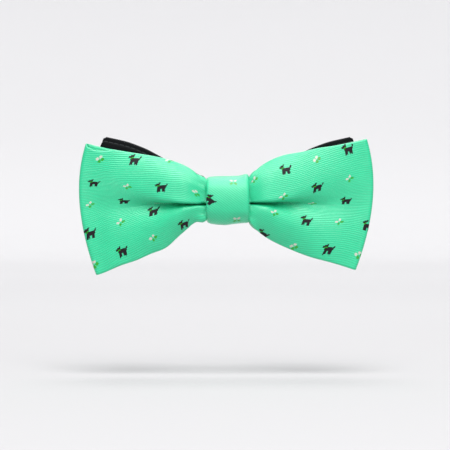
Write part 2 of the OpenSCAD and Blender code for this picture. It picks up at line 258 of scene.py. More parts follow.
def cloth_edges(wing, x):
    """Cloth coordinate across the strip at the wing's bottom and top silhouettes, fitted to where the
    photograph shows the figures."""
    x = abs(x)
    if wing["sign"] < 0:
        low = -29.25 + 3 * smooth((27 - x) / 18) - 1.5 * bell(x, 32, 12) + 0.7 * smooth((x - 47) / 7)
        top = 29.7 - 2.6 * smooth((58 - x) / 30) - 4.8 * smooth((31 - x) / 21) - 1.7 * bell(x, 53, 5)
    else:
        low = -30.3 + 4.2 * smooth((52 - x) / 30) + 1.5 * smooth((18 - x) / 10)
        top = 26.3 + 4 * smooth((56 - x) / 32) + 1.2 * bell(x, 22, 9) - 2 * smooth((20 - x) / 12)
    return low, top


def relief(a, v, vc):
    """The front panel's shape: how far its middle sits back, how much of that is the pleat's own hollow,
    how much further its face sits back, and how far the upper lobe's face hangs down over the pleat."""
    above = v > vc
    room_behind = back_y(a) - front_y(a) - 2 * half_t(a)
    edge = 0.8 * max(0.0, room_behind) * (1 - smooth((a - 0.8) / 0.2)) * np.abs(v) ** 3
    depth, low_side, high_side = (np.interp(a, *table) for table in (PLEAT_DEPTH, PLEAT_BELOW, PLEAT_ABOVE))
    inner = max(0.0, depth - 2 * half_t(a) + 0.9)
    hollow = inner * bell(v, vc, np.where(above, 0.3, low_side + 0.05))
    middle = edge + hollow
    face = edge + depth * np.exp(-np.abs((v - vc) / np.where(above, high_side, low_side)) ** 1.7)
    reach = np.clip((v - vc) / np.interp(a, *LIP_REACH), 0, None)
    hang = np.interp(a, *LIP) * reach * np.exp(1 - reach)
    return middle, hollow, face - middle - LIP_SWELL * hang, -hang


def wing_rows(wing, a):
    """The crease, the rows and the outline at a."""
    low, top = edges(wing, a)
    vc = crease_v(wing, a)
    v = rows_v(min(EDGE_ROUND, half_t(a) / ((top[1] - low[1]) / 2)), vc)
    return vc, v, outline(wing, a, v)


def top_dip(wing, a, v, p):
    """Near the fold the front panel's top edge drops away from the back panel's."""
    return np.interp(abs(p[-1, 0]) - TIP * a ** 6, DIP_X, wing["dip"]) * smooth((v - 0.2) / 0.8)


def front_line(wing, a):
    s = wing["sign"]
    vc, v, p = wing_rows(wing, a)
    middle, hollow, push, drop = relief(a, v, vc)
    # soft folds run out of the knot
    fan = (1 - smooth(a / 0.34)) * smooth(a / 0.03)
    y = front_y(a) + middle + fan * (0.14 * np.cos(9.5 * v + 0.8 * s) + 0.07 * np.cos(21 * v - 0.5 * s))
    z = p[:, 1] * (1 - PULL_IN * a ** 6) - top_dip(wing, a, v, p)
    return dict(p=np.stack([p[:, 0] - s * TIP * a ** 6, y, z], -1), v=v, t=half_t(a), hollow=hollow,
                push=push, drop=drop, a=a, vc=vc, back=False)


def fold_line(wing, turn):
    """A line of the outer fold, with turn from 0 at the front panel to pi at the back one."""
    s = wing["sign"]
    vc, v, p = wing_rows(wing, 1)
    middle, hollow, push, drop = relief(1, v, vc)
    share = (1 + math.cos(turn)) / 2
    x = p[:, 0] + s * (FOLD_R * math.sin(turn) - TIP)
    y = back_y(1) - FOLD_R * (1 + math.cos(turn)) + middle * share
    z = p[:, 1] * (1 - PULL_IN + PULL_IN * math.sin(turn)) - top_dip(wing, 1, v, p) * max(math.cos(turn), 0)
    return dict(p=np.stack([x, y, z], -1), v=v, t=FOLD_T, hollow=hollow * share, push=push * share,
                drop=drop * share, a=1, vc=vc, back=False)


def back_line(wing, a):
    vc, v, p = wing_rows(wing, a)
    fan = (1 - smooth(a / 0.4)) * smooth(a / 0.08)
    y = back_y(a) - 0.35 * fan * (1 + np.cos(8 * v))
    z = p[:, 1] * (1 - PULL_IN * a ** 6)
    flat = 0 * v
    return dict(p=np.stack([p[:, 0] - wing["sign"] * TIP * a ** 6, y, z], -1), v=v, t=half_t(a), hollow=flat,
                push=flat, drop=flat, a=a, vc=vc, back=True)


def gather(lines, key):
    return np.array([line[key] for line in lines])


def lay_cloth(wing, lines, tip):
    """Gives each line its cloth coordinates, so that the figures lie where the photograph shows them: w
    across the strip from both edges, with the cloth tucked into the pleat between them, and u along it
    from the line at the wing's tip."""
    pts = gather(lines, "p")
    steps = np.linalg.norm(np.diff(pts, axis=0), axis=2)
    along = np.concatenate([np.zeros((1, pts.shape[1])), np.cumsum(steps, axis=0)])
    along = np.abs(along - along[tip])
    for i, line in enumerate(lines):
        q, v, a, vc = line["p"], line["v"], line["a"], line["vc"]
        across = run_length(np.stack([q[:, 1] + line["push"], q[:, 2] + line["drop"]], -1))
        low, top = cloth_edges(wing, WING_END if line["back"] else q[:, 0].mean())
        hidden = (top - low) - across[-1]
        spread, eased = np.interp(a, *TUCK_SPREAD), np.interp(a, *TUCK_EASED)
        centre = np.interp(a, SPREAD_A, wing["spread_centre"])
        tucked = smooth((v - vc - centre + spread) / (2 * spread))
        evenly = np.clip((v - vc + 0.7) / 1.4, 0, 1)
        line["w"] = low + across + hidden * mix(tucked, evenly, eased)
        d = along[i] if i < tip else -along[i]
        # a column of figures leans as it goes up
        up = line["w"] / (2 * ROW)
        if wing["sign"] < 0:
            bias = 1.6 * np.clip(-up, 0, 1) * smooth((d - 4) / 9)
            line["u"] = d - (4.4 + 3.5 * up) + bias
        else:
            pull = np.interp(line["w"], *PULL) * (1 - smooth(np.abs(d) / 9))
            line["u"] = COLUMN - (d - (11.3 - 2.5 * up)) * 1.04 + pull


def wing_lines(wing):
    """Lines across the strip, from the front of the waist round the outer fold to the back of the waist:
    the middle surface p, its half thickness t, how the face departs from it, and the cloth coordinates."""
    places = np.concatenate([np.linspace(0, 0.06, 9)[:-1], np.linspace(0.06, 0.3, 22)[:-1],
                             np.linspace(0.3, 1, 44)])
    turns = np.radians(np.linspace(0, 180, 11))[1:-1]
    lines = [front_line(wing, a) for a in places] + [fold_line(wing, t) for t in turns]
    lines += [back_line(wing, a) for a in np.linspace(1, 0, 34)]
    lay_cloth(wing, lines, len(places) + len(turns) // 2)
    return lines


def loop_lines():
    """Every line across the strip, once round its loop."""
    right, left = wing_lines(RIGHT), wing_lines(LEFT)

    def waist(*ends):
        """From one end to the other under the knot, where the strip is drawn in."""
        one, two = (dict(q, p=q["p"] * (0.9, 1, WAIST_H / np.abs(q["p"][:, 2]).max())) for q in ends)
        return [{key: mix(one[key], two[key], f) for key in one} for f in np.linspace(0, 1, 6)]

    return right + waist(right[-1], left[-1]) + left[::-1] + waist(left[0], right[0])


def strip_normals(lines):
    """Outward directions of the strip as it would lie without the pleat's hollow."""
    pts = gather(lines, "p")
    pts[:, :, 1] -= gather(lines, "hollow")
    n = np.cross(np.gradient(pts, axis=1), np.roll(pts, -1, 0) - np.roll(pts, 1, 0))
    n /= np.linalg.norm(n, axis=2)[:, :, None] + 1e-12
    # outward of the loop: the front faces -Y
    front_faces_back = n[5, n.shape[1] // 2, 1] > 0
    return -n if front_faces_back else n


def build_strip(lines):
    pts, v, t = gather(lines, "p"), gather(lines, "v"), gather(lines, "t")[:, None]
    half_height = np.abs(pts[:, -1, 2] - pts[:, 0, 2])[:, None] / 2
    rho = np.minimum(EDGE_ROUND, t / half_height)
    roll = np.sqrt(np.clip(1 - np.clip((np.abs(v) - 1 + rho) / rho, 0, 1) ** 2, 0, 1))
    offset = strip_normals(lines) * (t * roll)[:, :, None]
    outer, inner = pts + offset, pts - offset
    outer[:, :, 1] += gather(lines, "push")
    outer[:, :, 2] += gather(lines, "drop")
    back_again = slice(pts.shape[1] - 2, 0, -1)  # the inside's rows, without the two that the outside holds
    uv = np.stack([gather(lines, "u"), gather(lines, "w")], -1)
    return make_ring("bow_strip_cloth", np.concatenate([outer, inner[:, back_again]], 1),
                     np.concatenate([uv, (uv + LINING_SHIFT)[:, back_again]], 1))


def build_interlining(lines):
    """A felt sheet inside the strip, just under its inner face."""
    depth, thickness, margin_rows, row_step = 0.35, 0.35, 5, 3
    pts, n, t = gather(lines, "p"), strip_normals(lines), gather(lines, "t")[:, None, None]
    keep = np.arange(margin_rows, pts.shape[1] - margin_rows, row_step)
    near = (pts - n * (t - depth))[:, keep]
    far = (pts - n * (t - depth - thickness))[:, keep]
    return make_ring("bow_interlining_felt", np.concatenate([far, near[:, ::-1]], 1))


# ---------------------------------------------------------------- the knot

KNOT_D, KNOT_H, KNOT_HALF_W = 14.1, 19.7, 8.7
KNOT_T = 0.8  # half thickness of its cloth
# places across the knot, and how far its top and bottom edges are from its middle there
KNOT_TOP = [-8.7, -7.4, -5, 0, 4.5, 7.2, 8.1, 8.7], [8.9, 9.35, 9.6, 9.7, 9.8, 10.55, 10.35, 9.7]
KNOT_LOW = [-8.7, -7, -4, -1, 3, 6, 8.7], [8.9, 9.8, 10.2, 10.35, 9.8, 9.5, 9.35]


def rounded_section(depth, height, r_front, r_back, dome, count):
    """Closed section of the knot in Y and Z, from the middle of its front and going up, with its outward
    normals and the length along it. The front swells forward by dome."""
    h = height / 2
    corners = [(-depth + r_front, h - r_front, r_front, 180), (-r_back, h - r_back, r_back, 90),
               (-r_back, -h + r_back, r_back, 0), (-depth + r_front, -h + r_front, r_front, -90)]
    pts = [(-depth, 0)]
    for y, z, r, start in corners:
        bend = np.radians(np.linspace(start, start - 90, 16))
        pts += [(y + r * math.cos(t), z + r * math.sin(t)) for t in bend]
    pts = np.array(pts + [(-depth, 0)])
    length = run_length(pts)
    s = np.linspace(0, length[-1], count, endpoint=False)
    ring = np.stack([np.interp(s, length, pts[:, k]) for k in (0, 1)], -1)
    d = np.roll(ring, -1, 0) - np.roll(ring, 1, 0)
    normal = np.stack([-d[:, 1], d[:, 0]], -1)
    normal /= np.linalg.norm(normal, axis=1)[:, None]
    front = ring[:, 0] < -depth / 2
    ring[:, 0] -= np.where(front, dome * np.clip(1 - (ring[:, 1] / h) ** 2, 0, 1), 0)
    return ring, normal, s, length[-1]


def knot_wall(ring, normal, half_w, r, count):
    """X, Y and Z of a wall 2 r thick with round edges, that follows the ring and is 2 half_w wide."""
    xs = np.linspace(-half_w + r, half_w - r, count)
    bends = np.radians([22.5, 45, 67.5, 90, 112.5, 135, 157.5])
    wall = [(x, r) for x in xs]
    wall += [(half_w - r + r * math.sin(t), r * math.cos(t)) for t in bends]
    wall += [(x, -r) for x in xs[::-3]]
    wall += [(-half_w + r - r * math.sin(t), -r * math.cos(t)) for t in bends]
    x, h = np.array(wall).T[:, None]
    y = ring[:, 0][:, None] + normal[:, 0][:, None] * h
    z = ring[:, 1][:, None] + normal[:, 1][:, None] * h
    return x + np.zeros_like(y), y, z


def knot_shape(x, z, y):
    """The band's uneven top and bottom edges and its slight taper, which fade out towards the back."""
    half = KNOT_H / 2
    k = np.where(z > 0, np.interp(x, *KNOT_TOP), np.interp(x, *KNOT_LOW)) / half
    return z * mix(1, k, smooth(np.abs(z) / half * 1.6 - 0.4) * smooth((1.5 - y) / 6))


def build_knot():
    ring, normal, s, total = rounded_section(KNOT_D - 2.2, KNOT_H - 2 * KNOT_T, r_front=5.0, r_back=2.8,
                                             dome=1.9, count=150)
    ring[:, 0] -= KNOT_T
    x, y, z = knot_wall(ring, normal, KNOT_HALF_W, KNOT_T, 44)
    # a lap runs down the right of the front, and the sides draw in a little
    face = smooth((-y - 9) / 4)
    lap = bell(x, 6.9, 0.55) * smooth((z + 2) / 8)
    y = y - face * 0.12 * lap
    y = y + face * 0.35 * (np.abs(x) / KNOT_HALF_W) ** 4
    z = knot_shape(x, z, y)
    y = np.minimum(y, 0)
    # cloth on the bias: drawn wider and shorter by the wrap
    arc = np.where(s > total / 2, s - total, s)[:, None] + np.zeros_like(y)
    cx, cz = (x + 7.3) / 1.1, (arc + 0.1) / 0.8
    uv = np.stack([COLUMN + (cx - cz) * math.sqrt(0.5), (cx + cz) * math.sqrt(0.5)], -1)
    return make_ring("knot_band_cloth", np.stack([x, y, z], -1), uv)


def build_knot_interlining():
    """The knot's interlining, just inside its cloth."""
    half_thickness, margin = 0.18, 1.0
    ring, normal, _, _ = rounded_section(KNOT_D - 3.0, KNOT_H - 2.4, r_front=4.8, r_back=2.4,
                                         dome=1.6, count=90)
    ring[:, 0] -= 1.15
    wall = knot_wall(ring, normal, KNOT_HALF_W - margin, half_thickness, 20)
    return make_ring("knot_interlining_felt", np.stack(wall, -1))


# ---------------------------------------------------------------- the neckband

# slope is the angle at which the front layer rises outwards, and turn how much steeper those behind it rise
LEFT_SIDE = dict(sign=-1, slope=19.0, turn=7.0)
RIGHT_SIDE = dict(sign=1, slope=18.9, turn=4.1)
TURN_RUN = 7  # length of the band beside the first fold that takes up the turn
BAND_W, BAND_T = 16.5, 0.8
FIRST, INNER, LAST = 55.7, 16.5, 52.5  # places along a side of its three folds
TURN_S, SLIDE_S = 22.0, 34.0  # and of its loop round the eye or the hook, and of the slide's middle bar
SPLIT_2, SPLIT_3 = 35.25, 34.5  # where its pieces meet on the second and third layers
LAYER_Y = (-2.4, -1.2, 0.0)  # Y of the first three layers
LEFT_END_Y, RIGHT_END_Y = 1.2, 2.1  # Y of the end layer on each side
EYE_Y, HOOK_Y, SLIDE_Y = 2.1, 3.0, 3.9  # Y of the wires that the band turns round
WIRE_TURN_R = 0.9
STEP = 1.5  # about the distance between two stations of a straight length
OVERLAP = 1.0  # how far each side's front layer reaches past the middle, inside the knot
# places along the front layer, and how far it reaches up and down from its middle there
FRONT_TOP = [0, 9.3, 20, 29, 38, 46, FIRST], [4.3, 4.3, 5.65, 7.35, 8.95, 9.25, 8.25]
FRONT_LOW = [0, 9.3, 19, 29, 38, 46, FIRST], [4.3, 4.3, 6.75, 7.95, 7.55, 7.25, 8.25]
NIP = 0.8  # how much shorter than the band a pressed fold is at each corner
EDGE_R = 0.4  # radius of the band's edges
SEAM_IN = 1.9  # distance of the topstitching from the band's edge
# distances in from the edge, and how deep the topstitching has drawn the cloth in there
GROOVE = [(EDGE_R, 0), (0.9, 0), (SEAM_IN - 0.45, 0), (SEAM_IN - 0.2, 0.05), (SEAM_IN, 0.11),
          (SEAM_IN + 0.2, 0.05), (SEAM_IN + 0.45, 0), (3.2, 0)]
CROWN = 0.02  # how much thicker the band is in its middle, on each face

# one place of the band: its centre, the way across it, the way its face looks, and its reach up and down
Station = namedtuple("Station", "centre across face top low")


def directions(side, turned):
    """Along and across the band, after a share of the turn at its first fold."""
    angle = math.radians(side["slope"] + side["turn"] * turned)
    c, s = math.cos(angle), math.sin(angle)
    return np.array([side["sign"] * c, 0, s]), np.array([-side["sign"] * s, 0, c])


def station(side, s, y, turned=1.0, top=BAND_W / 2, low=BAND_W / 2, front=False):
    """The band at s along its side and y back, on the front layer or on one behind it. turned is the share
    of the turn that its across direction has taken."""
    start, onward = directions(side, 0)[0], directions(side, 1)[0]
    centre = start * s if front else start * FIRST + onward * (s - FIRST)
    return Station(centre + np.array([0, y, 0]), directions(side, turned)[1], np.array([0, 1, 0]), top, low)


def band_point(side, s, y, n):
    """A point behind the first fold: s along the band, y back and n across."""
    here = station(side, s, y)
    return here.centre + here.across * n


def band_section(top, low):
    """The band's section: points across and through it, from its rear face over the top edge to the front
    face, and back over the bottom edge."""
    rear = [(d, BAND_T / 2 - groove) for d, groove in GROOVE]
    bend = np.radians([60, 30, 0, -30, -60])
    bend = [(EDGE_R - EDGE_R * math.cos(t), EDGE_R * math.sin(t)) for t in bend]
    edge = rear[::-1] + bend + [(d, -h) for d, h in rear]
    middle = [(q, -BAND_T / 2 - CROWN) for q in (2.0, 0.0, -2.0)]
    return np.array([(top - d, h) for d, h in edge] + middle
                    + [(-low + d, -h) for d, h in edge] + [(-q, -h) for q, h in middle])


def sweep(name, stations, thick=1.0):
    """The band along its stations. Its second cloth coordinate is measured in from the nearer edge, so
    the topstitching stays beside the edges where the band narrows."""
    run = run_length(np.array([st.centre for st in stations]))
    rows, uvs = [], []
    for st, s in zip(stations, run):
        across, through = band_section(st.top, st.low).T
        rows.append(st.centre + np.outer(across, st.across) + np.outer(through * thick, st.face))
        uvs.append(np.stack([np.full(len(across), s),
                             across + np.where(across > 0, BAND_W / 2 - st.top, st.low - BAND_W / 2)], -1))
    rows, uvs = np.array(rows), np.array(uvs)
    obj = make_closed(name, rows.reshape(-1, 3), tube_faces(*rows.shape[:2]), uvs.reshape(-1, 2))
    obj["length_mm"] = run[-1]
    return obj


def straight(side, s0, s1, y):
    count = max(2, int(abs(s1 - s0) / STEP) + 1)
    return [station(side, s, y) for s in np.linspace(s0, s1, count)]


def sloped(side, s0, y0, s1, y1, count, eased=False):
    return [station(side, mix(s0, s1, f), mix(y0, y1, smooth(f) if eased else f))
            for f in np.linspace(0, 1, count)]


def u_turn(side, s, y0, y1, outer, turned=1.0, count=15):
    """A fold of the band away from the middle, or towards it; its rear face turns with it."""
    out = []
    r = (y1 - y0) / 2
    way = directions(side, turned)[0] * (1 if outer else -1)
    for t in np.radians(np.linspace(-90, 90, count)):
        half = BAND_W / 2 - (NIP * math.cos(t) ** 0.7 if outer else 0)
        st = station(side, s, (y0 + y1) / 2 + r * math.sin(t), turned, half, half)
        out.append(st._replace(centre=st.centre + way * math.cos(t) * r,
                               face=np.array([0, -math.sin(t), 0]) - way * math.cos(t)))
    return out


def wire_turn(side, s, y, outer):
    return u_turn(side, s, y - WIRE_TURN_R, y + WIRE_TURN_R, outer, count=11)


def flip(stations):
    return [st._replace(face=-st.face) for st in stations]


def front_layer(side):
    """The front layer, which narrows into the knot."""
    places = np.linspace(-OVERLAP, FIRST, 60)
    top, low = (np.interp(places, *table) for table in (FRONT_TOP, FRONT_LOW))
    for _ in range(6):
        for q in (top, low):
            q[1:-1] = (q[:-2] + 2 * q[1:-1] + q[2:]) / 4
    turned = smooth((places - FIRST + TURN_RUN) / TURN_RUN) * 0.5
    return [station(side, *place, front=True)
            for place in zip(places, np.full(len(places), LAYER_Y[0]), turned, top, low)]


def first_piece(name, side):
    """From the knot, round the first fold, to the middle of the second layer."""
    turn = u_turn(side, FIRST, LAYER_Y[0], LAYER_Y[1], True, turned=0.5)
    back = [station(side, s, LAYER_Y[1], 0.5 + 0.5 * smooth((FIRST - s) / TURN_RUN))
            for s in np.linspace(FIRST, SPLIT_2, 16)]
    return sweep(name, front_layer(side) + turn[1:-1] + flip(back))


def second_piece(name, side):
    """From there, round the second fold, to the middle of the third layer."""
    one = straight(side, SPLIT_2, INNER, LAYER_Y[1])
    turn = u_turn(side, INNER, LAYER_Y[1], LAYER_Y[2], False)
    two = straight(side, INNER, SPLIT_3, LAYER_Y[2])
    return sweep(name, one + turn[1:-1] + flip(two))


def left_end_piece(name, side):
    """From there, round the third fold, along the end layer, round the eye and back."""
    one = straight(side, SPLIT_3, LAST, LAYER_Y[2])
    turn = u_turn(side, LAST, LAYER_Y[2], LEFT_END_Y, True)
    run = straight(side, LAST, TURN_S, LEFT_END_Y)
    loop = wire_turn(side, TURN_S, EYE_Y, False)
    tail = sloped(side, TURN_S, EYE_Y + WIRE_TURN_R, TURN_S + 4.2, 2.12, 7, eased=True)
    tail += straight(side, TURN_S + 4.6, TURN_S + 9, 2.1)
    # the second turn brings the face back round, so the whole tail keeps the first face's sense
    return sweep(name, one + turn[1:-1] + flip(run) + flip(loop[1:-1]) + tail)


def right_end_piece(name, side):
    """From the third layer, round the third fold, along the end layer to the slide."""
    one = straight(side, SPLIT_3, LAST, LAYER_Y[2])
    turn = u_turn(side, LAST, LAYER_Y[2], RIGHT_END_Y, True, count=13)
    run = straight(side, LAST, TURN_S + 7.05, RIGHT_END_Y)
    return sweep(name, one + turn[1:-1] + flip(run))


def tail_piece(name, side):
    """From the slide, round the hook's bar and back round the slide's middle bar."""
    run = straight(side, TURN_S + 9, TURN_S, RIGHT_END_Y)
    loop = wire_turn(side, TURN_S, HOOK_Y, False)
    back = sloped(side, TURN_S, HOOK_Y + WIRE_TURN_R, SLIDE_S, SLIDE_Y + WIRE_TURN_R, 10)
    bar = wire_turn(side, SLIDE_S, SLIDE_Y, True)
    end = sloped(side, SLIDE_S, SLIDE_Y - WIRE_TURN_R, SLIDE_S - 4.4, 3.55, 6)
    return sweep(name, flip(run) + flip(loop[1:-1]) + back + flip(bar[::-1][1:-1]) + flip(end), thick=1.06)


# ---------------------------------------------------------------- threads

LEFT_TACK, SLIDE_TACK = (29.0, 2.56), (31.3, 5.06)  # places of the bar tacks, along the band and back
TACK_HALF, TACK_SWING = 5, 0.45  # half a bar tack's length, and how far its zigzag swings to each side
TACK_STITCHES = 60


def thread(name, paths, radius, sides=8):
    """Closed tubes along the given paths, as one mesh, with length and turn as its cloth coordinates."""
    verts, faces, uvs = [], [], []
    for path in paths:
        path = np.array(path, float)
        d = np.gradient(path, axis=0)
        d /= np.linalg.norm(d, axis=1)[:, None] + 1e-9
        unlike_any_path = np.array([0.31, 0.2, 0.93])
        side = np.cross(d, unlike_any_path)
        side /= np.linalg.norm(side, axis=1)[:, None] + 1e-9
        top = np.cross(side, d)
        run = run_length(path)
        faces += [[q + len(verts) for q in f] for f in tube_faces(len(path), sides)]
        for i, p in enumerate(path):
            r = radius * (0.35 if i in (0, len(path) - 1) else 1)
            for t in np.arange(sides) * (2 * math.pi / sides):
                verts.append(p + r * (math.cos(t) * side[i] + math.sin(t) * top[i]))
                uvs.append((run[i], t))
    return make_closed(name, verts, faces, uvs)


def bar_tack(side, s, y):
    """Zigzag stitches across the band that hold a folded-back end down."""
    return [band_point(side, s + TACK_SWING * (-1) ** k, y, n)
            for k, n in enumerate(np.linspace(-TACK_HALF, TACK_HALF, TACK_STITCHES + 1))]


def waist_winding():
    """One thread, wound three times round the waist, whose section is a rounded box."""
    turns, pitch, middle_y, half_y, half_z = 3, 0.8, -7.8, 4.6, 8.15
    turn = np.linspace(0, turns, 145)
    c, s = np.cos(2 * math.pi * turn), np.sin(2 * math.pi * turn)
    y, z = (np.sign(q) * np.abs(q) ** 0.45 for q in (c, s))
    return np.stack([pitch * (turn - turns / 2), middle_y + half_y * y, half_z * z], -1)


def closing_stitches():
    """Five hand stitches that close the knot band behind."""
    out = []
    for k, x in enumerate((-6, -3, 0, 3, 6)):
        f = np.linspace(-1, 1, 15)
        out.append(np.stack([x + 0.12 * (-1) ** k * f, -0.42 + 0.24 * (1 - f ** 6), -4 + 1.15 * f], -1))
    return out


# ---------------------------------------------------------------- materials

class Value:
    """Arithmetic on shader sockets, so that a pattern reads as a formula."""

    def __init__(self, tree, out):
        self.tree, self.out = tree, out

    def math(self, operation, *others):
        node = self.tree.nodes.new("ShaderNodeMath")
        node.operation = operation
        for i, other in enumerate((self,) + others):
            if isinstance(other, Value):
                self.tree.links.new(other.out, node.inputs[i])
            else:
                node.inputs[i].default_value = other
        return Value(self.tree, node.outputs[0])

    __add__ = partialmethod(math, "ADD")
    __sub__ = partialmethod(math, "SUBTRACT")
    __mul__ = partialmethod(math, "MULTIPLY")
    floor = partialmethod(math, "FLOOR")
    fract = partialmethod(math, "FRACT")
    round = partialmethod(math, "ROUND")
    abs = partialmethod(math, "ABSOLUTE")
    sin = partialmethod(math, "SINE")
    root = partialmethod(math, "SQRT")
    min = partialmethod(math, "MINIMUM")
    max = partialmethod(math, "MAXIMUM")
    power = partialmethod(math, "POWER")

    def wave(self, pitch):
        """Runs from 0 to 1 and back once in every pitch."""
        return (self * (2 * math.pi / pitch)).sin() * 0.5 + 0.5

    def ramp(self, a, b, lo=0.0, hi=1.0):
        """Smooth from lo at a to hi at b."""
        node = self.tree.nodes.new("ShaderNodeMapRange")
        node.interpolation_type = "SMOOTHSTEP"
        self.tree.links.new(self.out, node.inputs["Value"])
        for name, value in (("From Min", a), ("From Max", b), ("To Min", lo), ("To Max", hi)):
            node.inputs[name].default_value = value
        return Value(self.tree, node.outputs["Result"])


class Material:
    """A Principled material under construction."""

    def __init__(self, name, roughness, metallic=0.0, specular=0.5, sheen=0.0, sheen_rough=0.5,
                 sheen_tint=(1, 1, 1), coat=0.0, coat_rough=0.3):
        self.mat = bpy.data.materials.new(name)
        self.mat.use_nodes = True
        self.tree = self.mat.node_tree
        self.shader = self.tree.nodes["Principled BSDF"]
        for key, value in (("Roughness", roughness), ("Metallic", metallic),
                           ("Specular IOR Level", specular), ("Sheen Weight", sheen),
                           ("Sheen Roughness", sheen_rough), ("Sheen Tint", (*sheen_tint, 1)),
                           ("Coat Weight", coat), ("Coat Roughness", coat_rough)):
            self.shader.inputs[key].default_value = value

    def node(self, kind, **links):
        """A new node. Spaces in the names of the inputs that are linked are underscores."""
        node = self.tree.nodes.new(kind)
        for key, socket in links.items():
            self.tree.links.new(socket, node.inputs[key.replace("_", " ")])
        return node

    def split(self, vector):
        """X, Y and Z of a vector."""
        return [Value(self.tree, out) for out in self.node("ShaderNodeSeparateXYZ", Vector=vector).outputs]

    def cloth_mm(self):
        """The two cloth coordinates, in millimetres."""
        uv = self.node("ShaderNodeUVMap")
        uv.uv_map = "cloth"
        return [q * (1 / UV_PER_MM) for q in self.split(uv.outputs[0])[:2]]

    def object_mm(self):
        place = self.node("ShaderNodeTexCoord").outputs["Object"]
        scale = self.node("ShaderNodeVectorMath", Vector=place)
        scale.operation = "SCALE"
        scale.inputs["Scale"].default_value = 1 / MM
        return scale.outputs[0]

    def combine(self, x, y):
        return self.node("ShaderNodeCombineXYZ", X=x.out, Y=y.out).outputs[0]

    def noise(self, vector, scale, detail=2.0):
        node = self.node("ShaderNodeTexNoise", Vector=vector)
        node.inputs["Scale"].default_value = scale
        node.inputs["Detail"].default_value = detail
        return Value(self.tree, node.outputs[0])

    def mix_colour(self, factor, a, b):
        node = self.tree.nodes.new("ShaderNodeMix")
        node.data_type = "RGBA"
        self.tree.links.new(factor.out, node.inputs["Factor"])
        for socket, colour in ((node.inputs[6], a), (node.inputs[7], b)):
            if isinstance(colour, tuple):
                socket.default_value = (*colour, 1)
            else:
                self.tree.links.new(colour, socket)
        return node.outputs[2]

    def shade(self, colour, factor):
        """colour times a number."""
        node = self.tree.nodes.new("ShaderNodeVectorMath")
        node.operation = "SCALE"
        self.tree.links.new(colour, node.inputs[0])
        self.tree.links.new(factor.out, node.inputs["Scale"])
        return node.outputs[0]

    def finish(self, colour, roughness=None, height=None, depth=0.0, strength=1.0, coat=None):
        """The material with its colour, and with height as a bump that is depth metres high."""
        def feed(key, socket):
            self.tree.links.new(socket, self.shader.inputs[key])

        feed("Base Color", colour)
        if roughness is not None:
            feed("Roughness", roughness.out)
        if height is not None:
            bump = self.node("ShaderNodeBump", Height=height.out)
            bump.inputs["Distance"].default_value = depth
            bump.inputs["Strength"].default_value = strength
            feed("Normal", bump.outputs[0])
        if coat is not None:
            feed("Coat Weight", coat.out)
            feed("Coat Normal", bump.outputs[0])
        return self.mat


# MINT_GROOVE_SHADE is the mint darkened as painted shade in the grooves between the ribs
MINT, MINT_GROOVE_SHADE = (0.02, 0.58, 0.29), (0.006, 0.42, 0.17)
INK, LEAF, PETAL = (0.004, 0.001, 0.004), (0.01, 0.34, 0.004), (0.56, 0.57, 0.48)

# the figures, as thick lines: from, to and half the thickness
DOG = [  # a small plain dog that looks left
    ((-0.75, 0.0), (1.25, 0.0), 0.82),  # body
    ((-0.95, 0.3), (-1.25, 1.0), 0.58),  # neck
    ((-1.2, 1.35), (-1.6, 1.3), 0.6),  # head
    ((-1.7, 1.2), (-2.25, 1.1), 0.4),  # muzzle
    ((-0.95, 1.7), (-0.75, 2.1), 0.32),  # ear
    ((-1.1, -0.5), (-1.15, -1.85), 0.36),  # four legs
    ((-0.5, -0.5), (-0.45, -1.85), 0.28),
    ((1.4, -0.4), (1.5, -1.85), 0.36),
    ((0.8, -0.5), (0.85, -1.85), 0.28),
    ((1.75, 0.25), (2.3, 1.15), 0.3),  # tail
]
COLLAR = [((-1.6, 0.6), (-0.8, 0.85), 0.22)]
PALE_PETALS = [((0, 0.85), (0, 1.15), 0.46), ((-0.9, 0), (-1.3, 0), 0.46)]
GREEN_PETALS = [((0, -0.85), (0, -1.15), 0.48), ((0.9, 0), (1.3, 0), 0.48)]


def capsule(x, y, a, b, r):
    """Distance from the point x, y to a thick line from a to b."""
    dx, dy = b[0] - a[0], b[1] - a[1]
    px, py = x - a[0], y - a[1]
    h = ((px * dx + py * dy) * (1 / (dx * dx + dy * dy))).max(0).min(1)
    qx, qy = px - h * dx, py - h * dy
    return (qx * qx + qy * qy).root() - r


def figure(x, y, lines):
    """1 on the given lines and 0 beside them."""
    near = capsule(x, y, *lines[0])
    for line in lines[1:]:
        near = near.min(capsule(x, y, *line))
    return near.ramp(0.0, 0.04, 1.0, 0.0)


